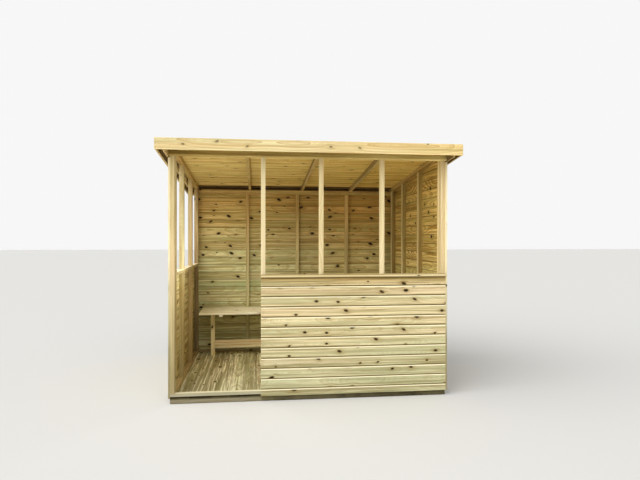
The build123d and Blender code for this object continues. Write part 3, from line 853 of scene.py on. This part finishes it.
def dressed(node, finish, seed, ease=EASE, sloping=False, set_back=0.0):
    """A node's timbers with their sharp edges eased and their grain along their length."""
    source = frame["nodes"][node]
    work = bmesh.new()
    work.from_mesh(source.data)
    bmesh.ops.remove_doubles(work, verts=work.verts, dist=1e-5)
    flat = math.radians(0.5)
    bmesh.ops.dissolve_limit(work, angle_limit=flat, verts=work.verts, edges=work.edges)
    bmesh.ops.bevel(
        work, geom=work.edges[:], affect="EDGES",
        offset=ease, segments=2, profile=0.5, clamp_overlap=True,
    )
    front = min(vert.co.y for vert in work.verts)
    for vert in work.verts:
        if vert.co.y < front + 2.0 * ease:
            vert.co.y += set_back
    own = work.verts.layers.float_vector.new("own")
    board = work.verts.layers.float.new("board")
    dice = random.Random(seed)
    for group in islands(work):
        low = Vector([min(vert.co[axis] for vert in group) for axis in (X, Y, Z)])
        high = Vector([max(vert.co[axis] for vert in group) for axis in (X, Y, Z)])
        size = high - low
        along, across, through = sorted((X, Y, Z), key=lambda axis: -size[axis])
        if sloping:
            along, across, through = Y, Z, X
        number = dice.random()
        for vert in group:
            place = vert.co - low
            if sloping:
                place.z += (vert.co.y - low.y) * ROOF_FALL - (high.y - low.y) * ROOF_FALL
            vert[own] = (place[along], place[through], place[across])
            vert[board] = number
    name = node + "_timber"
    kept(add_object(name, mesh_of(work, name, finishes[finish])), slot_of[node], node)


FASCIA_SET_BACK = 0.9 * MM       # leaves room for the nail heads on its face

# Finishes and the nodes that they go on, in the order of their seeds
framing = (
    ("left_post", "front_left_post"),
    ("jamb", "door_jamb_post"),
    ("front", "front_mullion_left front_mullion_right front_right_post front_sill_rails"),
    ("sill", "front_sill"),
    ("side_sill", "left_sill left_sill_rails"),
    ("plate", "front_sole_plate"),
    ("strip", "front_corner_strips back_corner_strips"),
    ("header", "front_header"),
    ("left_stud", "left_sole_plate left_front_stud left_mullion_front left_mullion_back"),
    ("stud", "right_sole_plate back_top_rail back_studs"),
    ("side_stud", "right_front_stud right_middle_studs right_back_stud"),
    ("shaded", "back_sole_plate left_back_stud"),
    ("back_trim", "back_fascia"),
    ("bench", "bench_battens bench_ledger"),
    ("bench_leg", "bench_legs"),
    ("leg", "bench_stretcher"),
)
sloping_framing = (
    ("rafter", "rafters"),
    ("stud", "left_top_rail right_top_rail"),
    ("trim", "barge_boards eaves_boards"),
)


def make_framing():
    seed = 50
    for group, is_sloping in ((framing, False), (sloping_framing, True)):
        for finish, nodes in group:
            for node in nodes.split():
                dressed(node, finish, seed, sloping=is_sloping)
                seed += 1
    dressed("front_fascia", "fascia", 301, set_back=FASCIA_SET_BACK)
    dressed("floor_bearers", "bearer", 305, ease=2.5 * MM)


# ---- Floor, roof and seat boards ----

FLOOR_PITCH = 113.0 * MM
FLOOR_GAP = 1.6 * MM
ROOF_PITCH = 115.5 * MM          # measured level, from front to back
ROOF_JOINT = -222.0 * MM         # where one joint of the roof boards lies
ROOF_GAP = 2.2 * MM
ROOF_BOARD = 12.0 * MM           # thickness, measured upright
SEAT_BOARDS = 4
SEAT_GAP = 6.0 * MM


def seat_pitch():
    low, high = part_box("bench_seat")
    return (high.y - low.y + SEAT_GAP) / SEAT_BOARDS


def make_floor():
    low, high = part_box("floor_boards")
    count = math.ceil((high.x - low.x) / FLOOR_PITCH)
    outline = eased_outline(high.z - low.z, FLOOR_PITCH - FLOOR_GAP, 1.2 * MM)
    boards = lay_boards(
        "floor_boards_laid", outline, high.y - low.y,
        count, (high.x, low.y, high.z), (-FLOOR_PITCH, 0.0, 0.0),
        (0, 1, 0), (0, 0, -1),
        "floor", 67, (0.0, 0.4 * MM, 0.0),
    )
    trimmed(boards, [((low.x, 0.0, 0.0), (-1, 0, 0))])
    kept(boards, slot_of["floor_boards"], "floor_boards")


def make_roof_boards():
    low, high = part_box("roof_boards")
    slope = Vector((0.0, -math.cos(ROOF_ANGLE), math.sin(ROOF_ANGLE)))
    up = Vector((0.0, math.sin(ROOF_ANGLE), math.cos(ROOF_ANGLE)))
    thickness = ROOF_BOARD * math.cos(ROOF_ANGLE)
    pitch = ROOF_PITCH / math.cos(ROOF_ANGLE)
    last_joint = ROOF_JOINT + math.ceil((high.y - ROOF_JOINT) / ROOF_PITCH) * ROOF_PITCH
    count = math.ceil((last_joint - low.y) / ROOF_PITCH)
    start = Vector((low.x, last_joint, low.z - ROOF_FALL * (last_joint - high.y)))
    boards = lay_boards(
        "roof_boards_laid", eased_outline(thickness, pitch - ROOF_GAP, 2.4 * MM), high.x - low.x,
        count, start, slope * pitch,
        (1, 0, 0), up,
        "roof", 71,
    )
    trimmed(boards, [((0.0, low.y, 0.0), (0, -1, 0)), ((0.0, high.y, 0.0), (0, 1, 0))])
    kept(boards, slot_of["roof_boards"], "roof_boards")


def make_seat():
    low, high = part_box("bench_seat")
    pitch = seat_pitch()
    outline = eased_outline(high.z - low.z, pitch - SEAT_GAP, 3.0 * MM)
    boards = lay_boards(
        "bench_seat_boards", outline, high.x - low.x,
        SEAT_BOARDS, (low.x, low.y, high.z), (0.0, pitch, 0.0),
        (1, 0, 0), (0, 0, -1),
        "bench", 73, (0.8 * MM, 0.0, 0.0),
    )
    kept(boards, slot_of["bench_seat"], "bench_seat")


# ---- Roof felt ----


FELT_SOLID = 3.0 * MM            # thickness of the solid that the strips replace
FELT_THICKNESS = 2.2 * MM
FELT_STRIPS = 3
FELT_LAP = 75.0 * MM
FELT_RIPPLE = 0.35 * MM
FELT_BED = 0.2 * MM              # how far the strips lie off the boards


def rim(rows):
    """The points round the edge of a grid, in order."""
    right = [row[-1] for row in rows[1:]]
    left = [row[0] for row in rows[-2:0:-1]]
    return rows[0][:] + right + rows[-1][-2::-1] + left


def make_felt():
    """Strips along the roof, lapped where they meet and rippled a little."""
    low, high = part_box("roof_felt")
    width = (high.y - low.y + (FELT_STRIPS - 1) * FELT_LAP) / FELT_STRIPS
    step = width - FELT_LAP
    dice = random.Random(5)
    work = bmesh.new()
    across_steps, along_steps = 14, 60
    for strip in range(FELT_STRIPS):
        near_y = low.y + strip * step
        phase = dice.random() * 9.0
        lift = 0.0 if strip == FELT_STRIPS - 1 else FELT_THICKNESS
        grids = []
        for level in (0, 1):
            rows = []
            for j in range(across_steps + 1):
                share = j / across_steps
                y = near_y + share * width
                row = []
                for i in range(along_steps + 1):
                    x = low.x + (high.x - low.x) * i / along_steps
                    under = high.z - FELT_SOLID - ROOF_FALL * (y - low.y)
                    ripple = FELT_RIPPLE * math.sin(x * 7.0 + phase) * math.sin(y * 11.0 + phase)
                    ripple = ripple * (0.5 + 0.5 * share) * (1 if level else 0.3)
                    over = lift * max(0.0, (share * width - step) / FELT_LAP)
                    z = under + FELT_BED + over + ripple
                    row.append(work.verts.new((x, y, z + (FELT_THICKNESS if level else 0.0))))
                rows.append(row)
            grids.append(rows)
        under_rows, top = grids
        for j in range(across_steps):
            for i in range(along_steps):
                work.faces.new((top[j][i], top[j][i + 1], top[j + 1][i + 1], top[j + 1][i]))
                foot, next_foot = under_rows[j], under_rows[j + 1]
                work.faces.new((foot[i], next_foot[i], next_foot[i + 1], foot[i + 1]))
        low_rim, top_rim = rim(under_rows), rim(top)
        for i in range(len(top_rim)):
            j = (i + 1) % len(top_rim)
            work.faces.new((low_rim[i], low_rim[j], top_rim[j], top_rim[i]))
    bmesh.ops.recalc_face_normals(work, faces=work.faces)
    strips = add_object("felt_strips", mesh_of(work, "felt_strips", felt_finish))
    kept(strips, slot_of["roof_felt"], "roof_felt")


# ---- Nails ----


NAIL_RADIUS = 2.4 * MM
NAIL_STAND = 0.7 * MM
COURSE_SHARE = 0.36              # how far up each course of shiplap its nails are
FOOT_MARGIN, TOP_MARGIN, ROOF_MARGIN = 0.01, 0.02, 0.03  # between nails and a wall's edges
BEARERS = 5
BEARER_WIDTH = 44.0 * MM
BEARER_START = 30.0 * MM         # from the front bearer's face to the first line of nails
BEARER_DRIFT = 0.016 / 1.7       # the share by which the lines are closer than the bearers
FLOOR_NAIL, SEAT_NAIL = 32.0 * MM, 30.0 * MM  # from the middle of a board
BARGE_ROWS = (0.016, 0.048, 0.080)            # up from the foot of the fascia
RAFTER_ROWS = (0.030, 0.072)


def nails(name, places, facing, slot, seed):
    mesh = bpy.data.meshes.new(name + "_places")
    mesh.from_pydata([tuple(place) for place in places], [], [])
    heads = tree_result(
        name, mesh, nail_heads,
        Facing=tuple(Vector(facing).to_track_quat("Z", "Y").to_euler()),
        Radius=NAIL_RADIUS, Stand=NAIL_STAND, Seed=seed, Finish=nail_finish,
    )
    kept(heads, slot)


def middle(node, axis):
    low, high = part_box(node)
    return (low[axis] + high[axis]) / 2


def course_levels(node):
    """Heights of the nails up one wall, one to a course."""
    low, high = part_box(node)
    level = lowest_course(low.z) + COURSE_SHARE * SHIPLAP_PITCH
    levels = []
    while level < high.z - TOP_MARGIN:
        if level > low.z + FOOT_MARGIN:
            levels.append(level)
        level += SHIPLAP_PITCH
    return levels


def stud_lines():
    """Where the studs behind each clad wall stand, with the wall's outward direction."""
    front = ("door_jamb_post", "front_mullion_left", "front_mullion_right", "front_right_post")
    left = ("left_front_stud", "left_mullion_front", "left_mullion_back", "left_back_stud")
    first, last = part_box("right_middle_studs")
    low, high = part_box("back_studs")
    right = (
        middle("right_front_stud", Y), first.y + HALF_TIMBER,
        last.y - HALF_TIMBER, middle("right_back_stud", Y),
    )
    back = (low.x + HALF_TIMBER, *(LEFT_FACE + x for x in BACK_STUDS), high.x - HALF_TIMBER)
    return (
        ("front", (0, -1, 0), [middle(node, X) for node in front]),
        ("left", (-1, 0, 0), [middle(node, Y) for node in left]),
        ("right", (1, 0, 0), right),
        ("back", (0, 1, 0), back),
    )


def make_nails():
    dice = random.Random(17)

    def play(size):
        return (dice.random() - 0.5) * size

    for seed, (side, outward, lines) in enumerate(stud_lines(), 1):
        node = side + "_cladding"
        low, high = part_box(node)
        places = []
        for line in lines:
            top = high.z
            if side == "right":
                top -= ROOF_MARGIN + ROOF_FALL * (line - low.y)
            for level in course_levels(node):
                if level < top:
                    along, upright = line + play(0.012), level + play(0.006)
                    if outward[X]:
                        face = low.x if outward[X] < 0 else high.x
                        places.append((face, along, upright))
                    else:
                        face = low.y if outward[Y] < 0 else high.y
                        places.append((along, face, upright))
        nails(side + "_nails", places, outward, "cladding_wood", seed)

    low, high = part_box("floor_boards")
    bearer_low, bearer_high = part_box("floor_bearers")
    spacing = (bearer_high.y - bearer_low.y - BEARER_WIDTH) / (BEARERS - 1)
    lines = [
        bearer_low.y + BEARER_START + i * spacing * (1.0 - BEARER_DRIFT)
        for i in range(1, BEARERS - 1)
    ]
    places = []
    board = high.x - FLOOR_PITCH / 2
    while board > low.x:
        for line in lines:
            for side in (-1, 1):
                x = board + side * FLOOR_NAIL + play(0.006)
                places.append((x, line + play(0.008), high.z))
        board -= FLOOR_PITCH
    nails("floor_nails", places, (0, 0, 1), "floor_wood", 5)

    low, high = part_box("front_fascia")
    first_end, last_end = END_RAFTERS
    barge_ends = [low.x + BARGE_THICKNESS / 2, high.x - BARGE_THICKNESS / 2]
    columns = barge_ends + [LEFT_FACE + x for x in (first_end, *RAFTERS, last_end)]
    places = []
    for column in columns:
        for row in BARGE_ROWS if column in barge_ends else RAFTER_ROWS:
            x = column + play(0.004)
            places.append((x, low.y + FASCIA_SET_BACK, low.z + row + play(0.004)))
    nails("fascia_nails", places, (0, -1, 0), "trim_wood", 6)

    low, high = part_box("bench_seat")
    places = []
    for start in BATTENS:
        for board in range(SEAT_BOARDS):
            y = low.y + (board + 0.5) * seat_pitch()
            for side in (-1, 1):
                x = LEFT_FACE + start + HALF_TIMBER + play(0.004)
                places.append((x, y + side * SEAT_NAIL, high.z))
    nails("seat_nails", places, (0, 0, 1), "bench_wood", 7)


make_cladding()
make_framing()
make_floor()
make_roof_boards()
make_seat()
make_felt()
make_nails()


# ---- Stage, light and camera ----


SKY_BASE = 0.44
SKY_OVERHEAD = 0.15
SKY_AIM, SKY_FRONT = (-0.36, -0.55, 0.75), 2.3
LEFT_AIM, SKY_LEFT = (-0.90, -0.12, 0.42), 2.5
FLOOR_REACH = 60.0


def background(bench, tint, strength):
    inputs = {"Color": tint, "Strength": strength}
    return bench.node("ShaderNodeBackground", inputs=inputs).outputs[0]


def make_stage():
    """A pale floor and a plain sky, brighter overhead, at the front left and at the left.

    The camera sees the floor plain grey. To other rays it is warm in front of the
    building and beside it, and dark behind it.
    """
    finish, bench = new_finish("studio_floor")
    rays = bench.node("ShaderNodeLightPath").outputs
    _, deep, _ = bench.parts(bench.object_place())
    behind = (deep * 3.0 - 2.2).clamped()
    bounce = bench.mix(behind, (0.64, 0.57, 0.45), (0.08, 0.08, 0.06))
    base = bench.mix(rays["Is Camera Ray"], bounce, (0.62, 0.62, 0.61))
    close_finish(bench, base, 0.9)
    mesh = bpy.data.meshes.new("studio_floor")
    signs = ((-1, -1), (1, -1), (1, 1), (-1, 1))
    corners = [(x * FLOOR_REACH, y * FLOOR_REACH, 0.0) for x, y in signs]
    mesh.from_pydata(corners, [], [(0, 1, 2, 3)])
    mesh.materials.append(finish)
    add_object("studio_floor", mesh)

    world = bpy.data.worlds.new("studio_light")
    bpy.context.scene.world = world
    world.use_nodes = True
    world.node_tree.nodes.clear()
    bench = Bench(world.node_tree)
    rays = bench.node("ShaderNodeLightPath").outputs
    east, north, up = bench.parts(bench.node("ShaderNodeTexCoord").outputs["Generated"])
    facing = (east * SKY_AIM[0] + north * SKY_AIM[1] + up * SKY_AIM[2]).clamped()
    behind = north.clamped()
    leftward = (east * LEFT_AIM[0] + north * LEFT_AIM[1] + up * LEFT_AIM[2]).clamped()
    lobes = facing ** 4.0 * SKY_FRONT + leftward ** 6.0 * SKY_LEFT
    strength = (up.clamped() * SKY_OVERHEAD + lobes + SKY_BASE) * (1.0 - behind * 0.85)
    light = background(bench, (1.0, 0.99, 0.97), strength)
    backdrop = background(bench, (0.93, 0.93, 0.93), 1.0)
    seen = (Number(bench, rays["Is Camera Ray"]) + Number(bench, rays["Is Glossy Ray"])).clamped()
    chosen = bench.node("ShaderNodeMixShader", inputs={0: seen, 1: light, 2: backdrop})
    bench.node("ShaderNodeOutputWorld", inputs={"Surface": chosen.outputs[0]})


def add_lamp(name, kind, place, power, tint):
    lamp = bpy.data.lights.new(name, kind)
    lamp.energy = power
    lamp.color = tint
    made = add_object(name, lamp)
    made.location = place
    return made


def make_lamps():
    front = add_lamp("front_light", "AREA", (-4.5, -8.0, 5.5), 60.0, (1.0, 0.98, 0.94))
    front.data.shape = "SQUARE"
    front.data.size = 5.0
    aim = Vector((0.0, 0.0, 1.0)) - front.location
    front.rotation_euler = aim.to_track_quat("-Z", "Y").to_euler()

    # A weak round light in the left of the room, which the camera doesn't see
    room = add_lamp("room_light", "POINT", (-0.80, -0.45, 1.20), 7.5, (1.0, 0.98, 0.92))
    room.data.shadow_soft_size = 0.12
    room.visible_camera = False
    room.visible_glossy = False


SENSOR_WIDTH = 36.0
IMAGE_WIDTH = 640.0
FOCAL_LENGTH = 518.638           # in pixels
CAMERA_PLACE = (-0.46977, -5.34915, 1.40097)
CAMERA_TURN = (6.872, -0.167, 0.06)  # degrees to the right, up and round the line of sight


def make_camera():
    camera = bpy.data.cameras.new("view")
    camera.sensor_width = SENSOR_WIDTH
    camera.lens = FOCAL_LENGTH * SENSOR_WIDTH / IMAGE_WIDTH
    made = add_object("view", camera)
    yaw, pitch, roll = (math.radians(angle) for angle in CAMERA_TURN)
    facing = Matrix.Rotation(-yaw, 4, "Z") @ Matrix.Rotation(math.pi / 2 + pitch, 4, "X")
    place = Matrix.Translation(CAMERA_PLACE)
    made.matrix_world = place @ facing @ Matrix.Rotation(roll, 4, "Z")
    bpy.context.scene.camera = made


make_stage()
make_lamps()
make_camera()
bpy.context.scene.view_settings.view_transform = "Standard"
